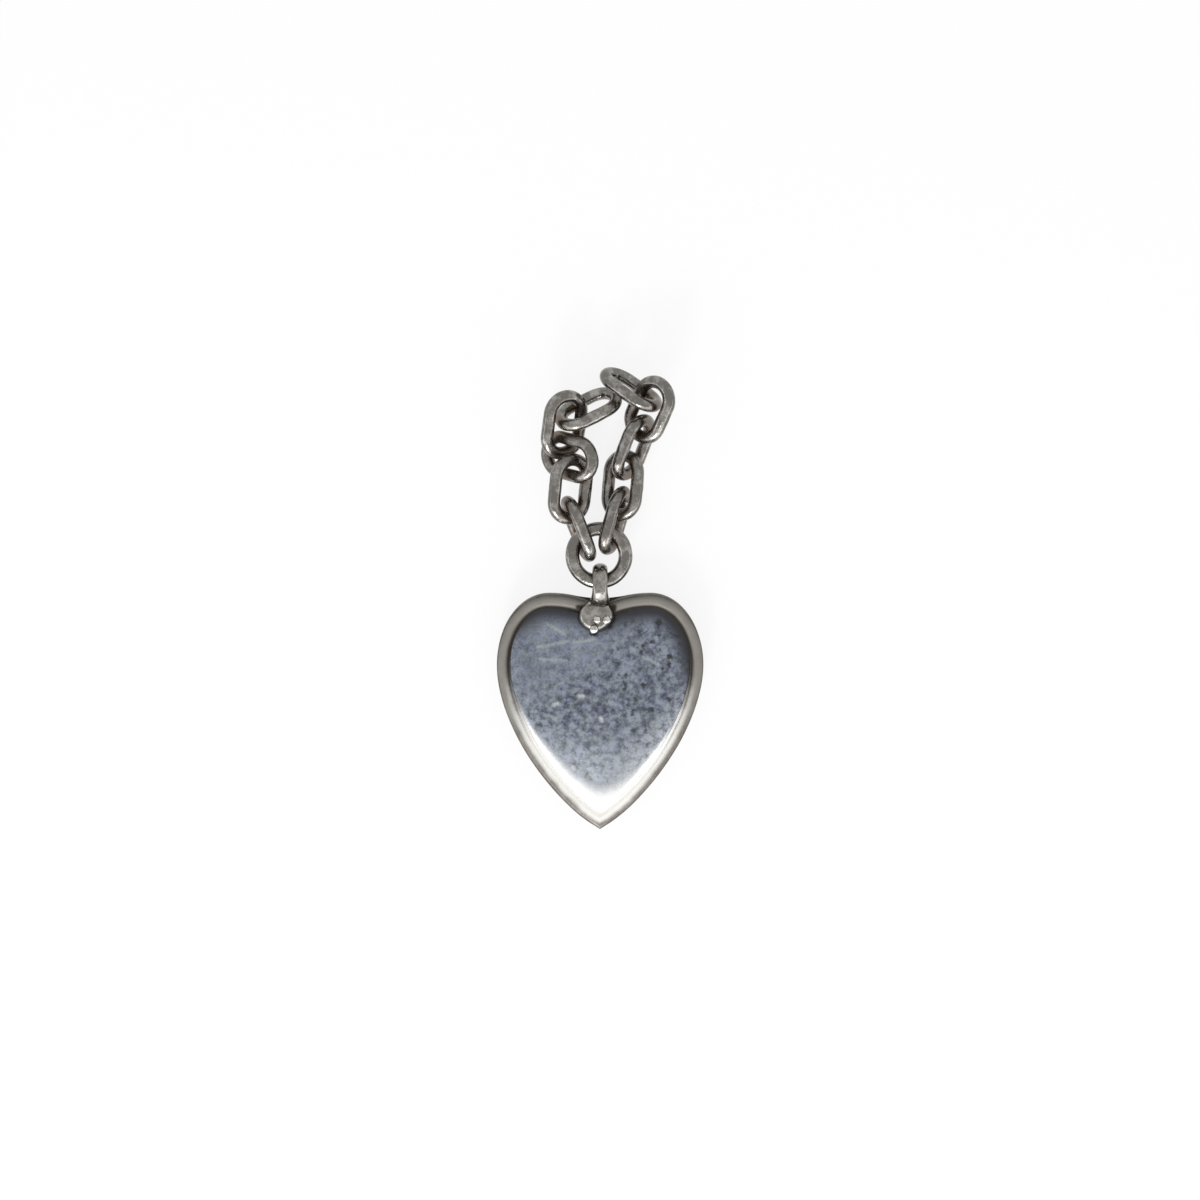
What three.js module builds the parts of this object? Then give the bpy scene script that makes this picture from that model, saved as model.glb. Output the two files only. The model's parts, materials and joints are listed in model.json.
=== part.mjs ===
// Heart pendant: a domed face set in a rounded rim on a flat back plate, an eye in the cleft,
// and a short loop of cable chain that hangs on a jump ring in the eye. It lies on its back.
// Millimetres and degrees. X runs across the heart, Y from its tip toward the chain, and Z up
// from the flat back. The origin is the middle of the back.
import * as THREE from 'three';

// Heart outline
const HEART_WIDTH = 20.7;
const HEART_LENGTH = 23.7;
const LOBE_SPACING = 10.2;
const LOBE_DROP = 7.0;
const LOBE_PULL = 1.5;
const CLEFT_DEPTH = 1.1;
const CLEFT_RADIUS = 1.5;
const CLEFT_SWEEP = 28;
const SIDE_PULL = 6.4;
const TIP_PULL = 5.2;
const TIP_ANGLE = 121;

// Case: back plate, rim band, the bearing strip inside it and the domed face on that strip
const BACK_THICKNESS = 0.7;
const BACK_CHAMFER = 0.15;
const RIM_HEIGHT = 2.3;
const RIM_WIDTH = 1.15;
const RIM_ROUND = 0.45;
const STRIP_WIDTH = 0.8;
const FACE_THICKNESS = 0.7;
const FACE_SINK = 0.5;
const DOME_RISE = 1.9;
const DOME_CENTRE_Y = 1.5;

// Eye in the cleft, its foot over the rim, and the beads on the foot
const EYE_BORE = 2.4;
const EYE_STRAP = 0.9;
const EYE_WIDTH = 1.5;
const FOOT_WIDTH = 3.7;
const FOOT_LENGTH = 2.6;
const FOOT_TOE_WIDTH = 1.5;
const FOOT_SHIFT = -0.4;
const FOOT_LEAN = -0.6;
const FOOT_THICKNESS = 0.55;
const FOOT_BEVEL = 0.2;
const BEAD_DIAMETER = 0.9;
const BEAD_CUT = 0.15;
const BEAD_TURN = 72;

// Chain
const WIRE = 1.3;
const RING_SHIFT = -0.1;
const LEFT_START = 144;
const RIGHT_START = 55;

// Clearances
const CASE_CLEARANCE = 0.12;
const DOME_CLEARANCE = 0.3;
const EYE_CLEARANCE = 0.1;
const RING_CLEARANCE = 0.3;
const HOOK_CLEARANCE = 0.4;
const LINK_SIDE_CLEARANCE = 0.9;
const LINK_END_CLEARANCE = 2.0;
const RING_SIDE_CLEARANCE = 1.4;
const FLOOR_CLEARANCE = 0.3;
const BEAD_CLEARANCE = 0.06;

// Facet counts
const CLEFT_STEPS = 3;
const LOBE_STEPS = 5;
const SHOULDER_STEPS = 12;
const SIDE_STEPS = 14;
const ROUND_STEPS = 3;
const DOME_STEPS = 6;
const WIRE_SIDES = 8;
const RING_STEPS = 28;
const BEND_STEPS = 12;
const BEAD_SIDES = 10;
const BEAD_STEPS = 4;

// Sizes that follow
const lobeTop = HEART_LENGTH / 2;
const tip = -HEART_LENGTH / 2;
const cleftBottom = lobeTop - CLEFT_DEPTH;
const rimTop = BACK_THICKNESS + RIM_HEIGHT;
const faceInset = RIM_WIDTH + CASE_CLEARANCE;
const faceEdgeTop = rimTop - FACE_SINK;
const ledgeTop = faceEdgeTop - FACE_THICKNESS;
const linkWidth = 3 * WIRE + LINK_SIDE_CLEARANCE;
const linkLength = 4 * WIRE + LINK_END_CLEARANCE;
const ringBore = 2 * WIRE + RING_SIDE_CLEARANCE;
const slack = HOOK_CLEARANCE / 2;
const endHook = linkLength / 2 - WIRE - slack;
const bendHook = linkLength / 2 - WIRE / 2;
const chainHeight = linkWidth / 2 + FLOOR_CLEARANCE;
const eyeRadius = (EYE_BORE + EYE_STRAP) / 2;
const eyeY = cleftBottom + EYE_CLEARANCE + EYE_BORE / 2 + EYE_STRAP;
const ringRadius = (ringBore + WIRE) / 2;
const ringY = eyeY + EYE_BORE / 2 - RING_CLEARANCE + ringBore / 2;
const footToe = cleftBottom - FOOT_LENGTH;
const footTop = rimTop + FOOT_THICKNESS + domeLift(footToe);

const silver = { color: 0x85827d, roughness: 0.36, metalness: 0.9 };
const tarnishedSilver = { color: 0x6f6c66, roughness: 0.45, metalness: 0.9 };
const polishedSilver = { color: 0x7b808b, roughness: 0.24, metalness: 0.92 };

const pendant = new THREE.Group();

// How far the foot's underside has to rise above the rim to clear the dome at a place below the cleft
function domeLift(y) {
  const edgeY = cleftBottom - faceInset;
  const share = (y - DOME_CENTRE_Y) / (edgeY - DOME_CENTRE_Y);
  const height = faceEdgeTop + DOME_RISE * (1 - share * share);
  return Math.max(0, height + DOME_CLEARANCE - rimTop);
}

function add(name, geometry, finish, holder = pendant) {
  const mesh = new THREE.Mesh(geometry, new THREE.MeshStandardMaterial(finish));
  mesh.name = name;
  holder.add(mesh);
  return mesh;
}

// A closed skin over rings of points that run anticlockwise seen from where the rings go.
// The rings join end to end, or the first and last are closed by a fan about their mean point.
function skin(rings, joined) {
  const count = rings[0].length;
  const points = rings.flat();
  const triangles = [];
  const bands = joined ? rings.length : rings.length - 1;
  for (let band = 0; band < bands; band += 1) {
    const here = band * count;
    const there = ((band + 1) % rings.length) * count;
    for (let k = 0; k < count; k += 1) {
      const next = (k + 1) % count;
      triangles.push(here + k, here + next, there + next, here + k, there + next, there + k);
    }
  }
  if (!joined) {
    const last = (rings.length - 1) * count;
    const middles = [rings[0], rings.at(-1)].map(meanPoint);
    const foot = points.push(...middles) - middles.length;
    for (let k = 0; k < count; k += 1) {
      const next = (k + 1) % count;
      triangles.push(foot, next, k, foot + 1, last + k, last + next);
    }
  }
  const geometry = new THREE.BufferGeometry().setFromPoints(points);
  geometry.setIndex(triangles);
  geometry.computeVertexNormals();
  return geometry;
}

function meanPoint(ring) {
  const sum = ring.reduce((total, point) => total.add(point), new THREE.Vector3());
  return sum.divideScalar(ring.length);
}

// Right half of the heart as curves from the cleft, over the lobe, down the side to the tip
function heartCurves() {
  const sweep = THREE.MathUtils.degToRad(CLEFT_SWEEP);
  const tipLean = THREE.MathUtils.degToRad(TIP_ANGLE / 2);
  const down = -Math.PI / 2;
  const lobeX = LOBE_SPACING / 2;
  const widest = new THREE.Vector2(HEART_WIDTH / 2, lobeTop - LOBE_DROP);
  const crown = new THREE.Vector2(lobeX, lobeTop);
  const cleft = new THREE.EllipseCurve(
    0, cleftBottom + CLEFT_RADIUS, CLEFT_RADIUS, CLEFT_RADIUS, down, down + sweep);
  const start = cleft.getPoint(1);
  const lobe = new THREE.CubicBezierCurve(
    start,
    new THREE.Vector2(start.x + LOBE_PULL * Math.cos(sweep), start.y + LOBE_PULL * Math.sin(sweep)),
    new THREE.Vector2(crown.x - LOBE_PULL, crown.y),
    crown);
  const shoulder = new THREE.EllipseCurve(
    lobeX, widest.y, widest.x - lobeX, LOBE_DROP, Math.PI / 2, 0, true);
  const side = new THREE.CubicBezierCurve(
    widest,
    new THREE.Vector2(widest.x, widest.y - SIDE_PULL),
    new THREE.Vector2(TIP_PULL * Math.sin(tipLean), tip + TIP_PULL * Math.cos(tipLean)),
    new THREE.Vector2(0, tip));
  return [[cleft, CLEFT_STEPS], [lobe, LOBE_STEPS], [shoulder, SHOULDER_STEPS], [side, SIDE_STEPS]];
}

function insetPoint(curve, along, inset) {
  const place = curve.getPoint(along);
  const heading = curve.getTangent(along);
  return new THREE.Vector2(place.x + heading.y * inset, place.y - heading.x * inset);
}

// Where an inset side meets the heart's middle line, short of the tip
function sideEnd(side, inset) {
  let before = 0.5;
  let after = 1;
  for (let halving = 0; halving < 40; halving += 1) {
    const middle = (before + after) / 2;
    if (insetPoint(side, middle, inset).x > 0) before = middle;
    else after = middle;
  }
  return before;
}

// The whole heart, inset all round, anticlockwise from the cleft
function heartOutline(inset) {
  const curves = heartCurves();
  const side = curves.at(-1)[0];
  const right = [];
  for (const [curve, steps] of curves) {
    const end = curve === side ? sideEnd(side, inset) : 1;
    for (let step = 0; step < steps; step += 1) {
      right.push(insetPoint(curve, end * step / steps, inset));
    }
  }
  const middleTop = new THREE.Vector2(0, right[0].y);
  const middleTip = new THREE.Vector2(0, insetPoint(side, sideEnd(side, inset), inset).y);
  const rightFlank = right.slice(1);
  const leftFlank = rightFlank.map((point) => new THREE.Vector2(-point.x, point.y));
  return [middleTop, ...leftFlank, middleTip, ...rightFlank.reverse()];
}

function atHeight(outline, height) {
  return outline.map((point) => new THREE.Vector3(point.x, point.y, height));
}

// Rings of an outline drawn in toward the middle of the dome while they rise by its curve
function domeRings(outline, base, shares) {
  return shares.map((share) => outline.map((point) => new THREE.Vector3(
    point.x * share,
    DOME_CENTRE_Y + (point.y - DOME_CENTRE_Y) * share,
    base + DOME_RISE * (1 - share * share))));
}

function backPlate() {
  return skin([
    atHeight(heartOutline(BACK_CHAMFER), 0),
    atHeight(heartOutline(0), BACK_CHAMFER),
    atHeight(heartOutline(0), BACK_THICKNESS),
  ], false);
}

function rimBand() {
  const profile = [[0, BACK_THICKNESS]];
  for (let step = 0; step <= ROUND_STEPS; step += 1) {
    const turn = (Math.PI / 2) * (step / ROUND_STEPS);
    profile.push([RIM_ROUND * (1 - Math.cos(turn)), rimTop - RIM_ROUND * (1 - Math.sin(turn))]);
  }
  for (let step = 0; step <= ROUND_STEPS; step += 1) {
    const turn = (Math.PI / 2) * (step / ROUND_STEPS);
    profile.push([
      RIM_WIDTH - RIM_ROUND * (1 - Math.sin(turn)), rimTop - RIM_ROUND * (1 - Math.cos(turn))]);
  }
  profile.push([RIM_WIDTH, BACK_THICKNESS]);
  return skin(profile.map(([inset, height]) => atHeight(heartOutline(inset), height)), true);
}

function bearingStrip() {
  const outside = heartOutline(faceInset);
  const inside = heartOutline(faceInset + STRIP_WIDTH);
  return skin([
    atHeight(outside, BACK_THICKNESS),
    atHeight(outside, ledgeTop),
    atHeight(inside, ledgeTop),
    atHeight(inside, BACK_THICKNESS),
  ], true);
}

function facePlate() {
  const edge = heartOutline(faceInset);
  const land = heartOutline(faceInset + STRIP_WIDTH + CASE_CLEARANCE);
  const shares = [];
  for (let step = 0; step < DOME_STEPS; step += 1) shares.push(1 - step / DOME_STEPS);
  return skin([
    ...domeRings(land, ledgeTop, shares.toReversed()),
    atHeight(edge, ledgeTop),
    ...domeRings(edge, faceEdgeTop, shares),
  ], false);
}

function eyeRing() {
  const ring = new THREE.TorusGeometry(eyeRadius, EYE_STRAP / 2, WIRE_SIDES, RING_STEPS);
  ring.scale(1, 1, EYE_WIDTH / EYE_STRAP);
  return ring.rotateY(Math.PI / 2);
}

// Tongue over the rim: flat where it sits on the lip, and clear of the dome beyond it
function eyeFoot() {
  const bottom = footOutline(0).map((point) => new THREE.Vector3(
    point.x, point.y, rimTop + domeLift(point.y)));
  return skin([
    bottom,
    atHeight(footOutline(0), footTop - FOOT_BEVEL),
    atHeight(footOutline(FOOT_BEVEL), footTop),
  ], false);
}

function footOutline(inset) {
  const heel = cleftBottom - inset;
  const toe = footToe + inset;
  const knee = cleftBottom - RIM_WIDTH;
  const wide = FOOT_WIDTH / 2 - inset;
  const narrow = FOOT_TOE_WIDTH / 2 - inset;
  const corners = [
    [FOOT_SHIFT + wide, heel],
    [FOOT_SHIFT - wide, heel],
    [FOOT_SHIFT - wide, knee],
    [FOOT_LEAN - narrow, toe],
    [FOOT_LEAN + narrow, toe],
    [FOOT_SHIFT + wide, knee],
  ];
  return corners.map(([x, y]) => new THREE.Vector2(x, y));
}

function footBead() {
  const radius = BEAD_DIAMETER / 2;
  const cutAngle = Math.acos((radius - BEAD_CUT) / radius);
  const profile = [new THREE.Vector2(0, 0)];
  for (let step = 0; step < BEAD_STEPS; step += 1) {
    const turn = cutAngle + (Math.PI - cutAngle) * (step / BEAD_STEPS);
    profile.push(new THREE.Vector2(radius * Math.sin(turn), radius - BEAD_CUT - radius * Math.cos(turn)));
  }
  profile.push(new THREE.Vector2(0, BEAD_DIAMETER - BEAD_CUT));
  return new THREE.LatheGeometry(profile, BEAD_SIDES).rotateX(Math.PI / 2);
}

// One link: a round wire bent to an oval that lies in XY with its length along X
function chainLink() {
  const bend = (linkWidth - WIRE) / 2;
  const straight = linkLength / 2 - WIRE / 2 - bend;
  const rings = [];
  for (const end of [0, 1]) {
    for (let step = 0; step <= BEND_STEPS; step += 1) {
      const turn = Math.PI * (end - 0.5 + step / BEND_STEPS);
      const outward = new THREE.Vector3(Math.cos(turn), Math.sin(turn), 0);
      const centre = outward.clone().multiplyScalar(bend);
      centre.x += end === 0 ? straight : -straight;
      rings.push(wireSection(centre, outward));
    }
  }
  return skin(rings, true);
}

function wireSection(centre, outward) {
  const section = [];
  for (let side = 0; side < WIRE_SIDES; side += 1) {
    const turn = 2 * Math.PI * (side + 0.5) / WIRE_SIDES;
    const point = centre.clone().addScaledVector(outward, WIRE / 2 * Math.cos(turn));
    point.z -= WIRE / 2 * Math.sin(turn);
    section.push(point);
  }
  return section;
}

// How the chain lies. Each row has the link's heading, roll and pitch, then the distances from its
// middle to the place where it hooks on the link before it, and to the place where the next link
// hooks on it. The last links of the two strands lie side by side, where the real loop closes.
const leftStrand = [
  { heading: 110, roll: -77, pitch: 12, enter: endHook - 0.25 * WIRE, leave: bendHook - 0.1 * WIRE },
  { heading: 84, roll: 31, pitch: 3, enter: endHook - 0.5 * WIRE, leave: bendHook + 0.1 * WIRE },
  { heading: -13, roll: 10, pitch: 39, enter: -0.4 * WIRE, leave: 1.3 * WIRE - bendHook },
  { heading: 82, roll: 30, pitch: 12, enter: bendHook + 0.1 * WIRE, leave: 0.3 * WIRE },
  { heading: 26, roll: -59, pitch: -14, enter: bendHook - 0.2 * WIRE },
];
const rightStrand = [
  { heading: 74, roll: 71, pitch: -1, enter: endHook, leave: endHook + 0.15 * WIRE },
  { heading: 85, roll: -37, pitch: -3, enter: endHook - 0.6 * WIRE, leave: endHook - 0.7 * WIRE },
  { heading: 69, roll: 57, pitch: 9, enter: bendHook - 0.1 * WIRE, leave: endHook - 0.35 * WIRE },
  { heading: 67, roll: -30, pitch: 19, enter: endHook + 0.4 * WIRE, leave: 0.45 * WIRE },
  { heading: 145, roll: 70, pitch: -24, enter: bendHook - 0.15 * WIRE },
];

function direction(heading, pitch) {
  const across = THREE.MathUtils.degToRad(heading);
  const up = THREE.MathUtils.degToRad(pitch);
  return new THREE.Vector3(
    Math.cos(up) * Math.cos(across), Math.cos(up) * Math.sin(across), Math.sin(up));
}

// A group that turns about a place where one piece hooks on another
function addPivot(place) {
  const pivot = new THREE.Group();
  pivot.position.copy(place);
  pendant.add(pivot);
  return pivot;
}

// Lays a strand out from the jump ring, each link hooked on the one before it
function layStrand(name, start, rows) {
  const hook = new THREE.Vector3(RING_SHIFT, ringY, chainHeight);
  hook.addScaledVector(direction(start, 0), ringBore / 2 - slack);
  rows.forEach(({ heading, roll, pitch, enter, leave = 0 }, index) => {
    const pivot = addPivot(hook);
    pivot.rotation.set(
      THREE.MathUtils.degToRad(roll),
      THREE.MathUtils.degToRad(-pitch),
      THREE.MathUtils.degToRad(heading),
      'ZYX');
    add(`${name}_link_${index + 1}`, chainLink(), silver, pivot).position.setX(enter);
    hook.addScaledVector(direction(heading, pitch), enter + leave);
  });
}

add('back_plate', backPlate(), tarnishedSilver);
add('rim_band', rimBand(), silver);
add('bearing_strip', bearingStrip(), tarnishedSilver);
add('face_plate', facePlate(), polishedSilver);
add('eye_ring', eyeRing(), silver).position.set(0, eyeY, chainHeight);
add('eye_foot', eyeFoot(), silver);

// Three beads packed together: one at the toe, one above it and one beside that
const beadStep = BEAD_DIAMETER + BEAD_CLEARANCE;
const beadTurn = THREE.MathUtils.degToRad(BEAD_TURN);
const toeBead = new THREE.Vector3(FOOT_LEAN, footToe + BEAD_DIAMETER / 2, footTop);
const upperBead = toeBead.clone();
upperBead.x += beadStep * Math.cos(beadTurn);
upperBead.y += beadStep * Math.sin(beadTurn);
const sideBead = upperBead.clone();
sideBead.x += beadStep;
[toeBead, upperBead, sideBead].forEach((place, index) => {
  add(`foot_bead_${index + 1}`, footBead(), silver).position.copy(place);
});

const eyeTop = new THREE.Vector3(0, eyeY + eyeRadius, chainHeight);
const jumpRing = new THREE.TorusGeometry(ringRadius, WIRE / 2, WIRE_SIDES, RING_STEPS);
add('jump_ring', jumpRing, silver, addPivot(eyeTop)).position.set(RING_SHIFT, ringY - eyeTop.y, 0);
layStrand('left', LEFT_START, leftStrand);
layStrand('right', RIGHT_START, rightStrand);

export default pendant;
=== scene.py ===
# %% [markdown]
# # A worn silver heart pendant on a short loop of chain
#
# The object is a small heart with a domed, polished face inside a rounded rim. An eye is soldered
# into the cleft at the top, a jump ring runs through the eye, and ten cable links close a loop on it.
# The CAD model gives every piece its place and size. This script dresses it: each CAD node that can be
# seen is replaced by a finer mesh in the same place, with a finish that shows how old silver wears.

import json
import math

import bmesh
import bpy
import numpy as np
from mathutils import Matrix, Vector, noise
from mathutils.bvhtree import BVHTree
from mathutils.kdtree import KDTree


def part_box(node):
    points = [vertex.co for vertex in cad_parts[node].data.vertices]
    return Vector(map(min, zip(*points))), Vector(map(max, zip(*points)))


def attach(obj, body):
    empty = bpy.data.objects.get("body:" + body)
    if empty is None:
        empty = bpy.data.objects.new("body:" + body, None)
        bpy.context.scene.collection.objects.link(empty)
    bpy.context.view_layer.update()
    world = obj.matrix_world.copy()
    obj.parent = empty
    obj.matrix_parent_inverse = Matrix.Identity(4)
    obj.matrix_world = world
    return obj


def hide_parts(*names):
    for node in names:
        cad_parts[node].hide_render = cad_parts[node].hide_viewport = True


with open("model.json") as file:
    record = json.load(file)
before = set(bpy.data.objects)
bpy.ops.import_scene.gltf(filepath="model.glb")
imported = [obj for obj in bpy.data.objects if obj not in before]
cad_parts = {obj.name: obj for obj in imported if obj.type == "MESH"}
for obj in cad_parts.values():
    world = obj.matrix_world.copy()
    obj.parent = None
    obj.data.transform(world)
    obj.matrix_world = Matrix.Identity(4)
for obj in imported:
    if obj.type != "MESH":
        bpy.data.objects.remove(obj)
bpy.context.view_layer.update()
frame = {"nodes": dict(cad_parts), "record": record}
scene = bpy.context.scene
scene.view_settings.view_transform = "Standard"
MM = 0.001

# %% [markdown]
# The photograph looks almost straight down on the pendant, from a little way towards the chain end.
# A long lens keeps the heart from looking swollen. The camera is set from three facts: what lies in
# the middle of the picture, how wide the picture is there, and how far the camera leans.

# %% Camera
LENS_MM = 100.0
SENSOR_MM = 36.0
PICTURE_WIDTH = 120 * MM
PICTURE_MIDDLE = Vector((0, 11.35 * MM, 2.5 * MM))
CAMERA_LEAN = math.radians(6)

camera_data = bpy.data.cameras.new("camera")
camera_data.lens = LENS_MM
camera_data.sensor_width = SENSOR_MM
camera = bpy.data.objects.new("camera", camera_data)
scene.collection.objects.link(camera)
camera_distance = PICTURE_WIDTH * LENS_MM / SENSOR_MM
lean = Matrix.Rotation(-CAMERA_LEAN, 4, "X")
stand_off = Matrix.Translation((0, 0, camera_distance))
camera.matrix_world = Matrix.Translation(PICTURE_MIDDLE) @ lean @ stand_off
scene.camera = camera
print("camera stands", round(camera_distance / MM), "mm away")

# %% [markdown]
# Finishes are built from shader nodes. Two small classes keep that readable. A Reading is a socket
# that can take part in Python sums, so `1 - mask` adds a Math node by itself. A NodeBoard adds any
# other node: its settings are set first, then its sockets get values or links.

# %% Shader helpers
class Reading:
    """A node's output that can be used in sums."""

    def __init__(self, board, socket):
        self.board = board
        self.socket = socket

    def output(self, name):
        return Reading(self.board, self.socket.node.outputs[name])

    def math(self, operation, first, second):
        return self.board.add("ShaderNodeMath", {"operation": operation}, {0: first, 1: second})

    def __add__(self, other):
        return self.math("ADD", self, other)

    def __radd__(self, other):
        return self.math("ADD", other, self)

    def __sub__(self, other):
        return self.math("SUBTRACT", self, other)

    def __rsub__(self, other):
        return self.math("SUBTRACT", other, self)

    def __mul__(self, other):
        return self.math("MULTIPLY", self, other)

    def __rmul__(self, other):
        return self.math("MULTIPLY", other, self)


class NodeBoard:
    """The nodes of one material or world."""

    def __init__(self, owner):
        owner.use_nodes = True
        self.tree = owner.node_tree
        self.tree.nodes.clear()

    def add(self, kind, settings=None, sockets=None, out=0):
        node = self.tree.nodes.new(kind)
        for name, value in (settings or {}).items():
            setattr(node, name, value)
        for name, value in (sockets or {}).items():
            if isinstance(value, Reading):
                self.tree.links.new(value.socket, node.inputs[name])
            else:
                node.inputs[name].default_value = value
        return Reading(self, node.outputs[out]) if len(node.outputs) else None


# %% [markdown]
# The finishes share a few building blocks: the place of a point on the piece in metres, cloudy noise
# of a given size in millimetres, a soft step between two levels, and a mix of two colours. Colours are
# written as the 0 to 255 numbers a paint program shows, and turned into linear light once, in Python.

# %% Building blocks for finishes
def linear(red, green, blue):
    shares = [level / 255 for level in (red, green, blue)]
    return [s / 12.92 if s <= 0.04045 else ((s + 0.055) / 1.055) ** 2.4 for s in shares] + [1.0]


def place_on(board):
    return board.add("ShaderNodeTexCoord", out="Object")


def cloud(board, place, size_mm, detail=3.0, roughness=0.55):
    sockets = {"Vector": place, "Scale": 1 / (size_mm * MM), "Detail": detail, "Roughness": roughness}
    return board.add("ShaderNodeTexNoise", {}, sockets)


def soft_step(board, value, low, high):
    sockets = {"Value": value, "From Min": low, "From Max": high}
    return board.add("ShaderNodeMapRange", {"interpolation_type": "SMOOTHSTEP"}, sockets)


def mix_colour(board, share, first, second):
    return board.add("ShaderNodeMix", {"data_type": "RGBA"}, {0: share, 6: first, 7: second}, out=2)


def turned(board, place, degrees, stretch):
    sockets = {"Vector": place, "Rotation": (0, 0, math.radians(degrees)), "Scale": stretch}
    return board.add("ShaderNodeMapping", {}, sockets)


def close_metal(board, colour, roughness, height, depth_mm):
    bump = board.add("ShaderNodeBump", {}, {"Distance": depth_mm * MM, "Height": height})
    sockets = {"Base Color": colour, "Metallic": 1.0, "Roughness": roughness, "Normal": bump}
    surface = board.add("ShaderNodeBsdfPrincipled", {}, sockets)
    board.add("ShaderNodeOutputMaterial", {}, {"Surface": surface})


# %% [markdown]
# Old silver goes dark where nothing rubs it: in the crook of a link, under its neighbour, along a
# seam. Each mesh carries a number per vertex named closeness, from 0 in the open to 1 where another
# piece is close. All finishes but the back's read it: the chain and the solder turn brown with tarnish
# there, the rim and the face take painted shade from it below the upper rim, and the face lets its
# painted reflection run up along the rim by it.

# %% Chain finish
WIRE_DULL = linear(110, 107, 103)
WIRE_BRIGHT = linear(158, 155, 151)
WIRE_TARNISH = linear(122, 111, 101)


def make_chain_silver():
    material = bpy.data.materials.new("worn_chain_silver")
    board = NodeBoard(material)
    place = place_on(board)
    closeness = board.add("ShaderNodeAttribute", {"attribute_name": "closeness"}, out="Fac")
    patches = cloud(board, place, size_mm=0.9)
    grains = cloud(board, place, size_mm=0.22, detail=4.0)
    tarnish_and_shade = soft_step(board, closeness + 0.6 * (patches - 0.5) + 0.3 * (grains - 0.5), 0.1, 0.75)
    polish = soft_step(board, patches + 0.4 * (grains - 0.5), 0.42, 0.75)
    open_silver = mix_colour(board, polish, WIRE_DULL, WIRE_BRIGHT)
    colour = mix_colour(board, tarnish_and_shade, open_silver, WIRE_TARNISH)
    roughness = 0.1 + 0.2 * tarnish_and_shade + 0.14 * grains
    close_metal(board, colour, roughness, grains, depth_mm=0.02)
    return material


chain_silver = make_chain_silver()
print("made", chain_silver.name)

# %% [markdown]
# The rim has been handled for years: a matte, warm grey with fine scuffs, darker down its side. On the
# upper half of the heart painted shade darkens it along the seam with the face and on the inner slope of
# its lip, and on the lower half that inner slope carries a painted reflection, white. Height above the
# table picks out the lip, and a number per vertex named inner_side tells the inner slope from the outer.

# %% Rim finish
rim_low, rim_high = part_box("rim_band")
LIP_Z = (rim_high.z - 0.42 * MM, rim_high.z - 0.06 * MM)
LOWER_HALF_Y = (-4 * MM, 5 * MM)
UPPER_HALF_Y = (0, 7 * MM)
TIP_END_Y = (-11 * MM, -7 * MM)
SCUFF_TURN = 32
SCUFF_STRETCH = (1.0, 0.12, 1.0)
RIM_SIDE_DARK = linear(78, 72, 66)
RIM_SIDE_PALE = linear(112, 107, 101)
RIM_LIP_GREY = linear(134, 131, 126)
# Painted reflection on the lower inner slope; painted shade on the upper inner slope and seam.
RIM_PAINTED_REFLECTION = linear(250, 248, 244)
RIM_INNER_SHADE = linear(78, 74, 70)
RIM_SEAM_SHADE = linear(56, 51, 46)


def make_rim_silver():
    material = bpy.data.materials.new("handled_rim_silver")
    board = NodeBoard(material)
    place = place_on(board)
    spot = board.add("ShaderNodeSeparateXYZ", {}, {"Vector": place})
    closeness = board.add("ShaderNodeAttribute", {"attribute_name": "closeness"}, out="Fac")
    inner_side = board.add("ShaderNodeAttribute", {"attribute_name": "inner_side"}, out="Fac")
    patches = cloud(board, place, size_mm=1.6)
    grains = cloud(board, place, size_mm=0.18, detail=4.0)
    scuffs = cloud(board, turned(board, place, SCUFF_TURN, SCUFF_STRETCH), size_mm=0.16, detail=2.0)
    # Scuffed grey, paler on the lip, but not on the outer slope of the lower half.
    lip = soft_step(board, spot.output("Z"), *LIP_Z)
    pale = soft_step(board, lip + 0.5 * (patches - 0.5) + 0.3 * (scuffs - 0.5), 0.2, 1.1)
    inner_rise = soft_step(board, inner_side, 0.05, 0.5)
    wear_and_reflection = soft_step(board, patches + 0.7 * (scuffs - 0.5) + 0.5 * (grains - 0.5), 0.22, 0.78)
    side = mix_colour(board, wear_and_reflection, RIM_SIDE_DARK, RIM_SIDE_PALE)
    uneven_y = spot.output("Y") + 4 * MM * (patches - 0.5)
    lower_half = 1 - soft_step(board, uneven_y, *LOWER_HALF_Y)
    upper_half = soft_step(board, uneven_y, *UPPER_HALF_Y)
    # Darker on the outer slope of the lower half.
    lower_outer_darkening = 0.7 * lower_half * (1 - inner_rise)
    silver = mix_colour(board, pale * (1 - lower_outer_darkening), side, RIM_LIP_GREY)
    # The inner slope, with a painted reflection on the lower half and painted shade on the upper half.
    tip_end = 1 - soft_step(board, spot.output("Y"), *TIP_END_Y)
    inner_reach = inner_side + 0.06 * tip_end + 0.2 * (patches - 0.5)
    painted_reflection = lower_half * soft_step(board, inner_reach, 0.19, 0.63)
    bright = mix_colour(board, painted_reflection, silver, RIM_PAINTED_REFLECTION)
    inner_slope = soft_step(board, inner_side + 0.2 * (patches - 0.5), 0.4, 0.8)
    inner_shaded = mix_colour(board, upper_half * inner_slope, bright, RIM_INNER_SHADE)
    # Painted shade along the seam on the upper half.
    tarnish_and_shade = upper_half * soft_step(board, closeness + 0.4 * (patches - 0.5), 0.35, 0.95)
    colour = mix_colour(board, tarnish_and_shade, inner_shaded, RIM_SEAM_SHADE)
    roughness = 0.58 - 0.16 * lower_half + 0.12 * grains + 0.1 * scuffs
    close_metal(board, colour, roughness, 0.6 * grains + 0.4 * scuffs, depth_mm=0.02)
    return material


rim_silver = make_rim_silver()
print("made", rim_silver.name)
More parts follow.
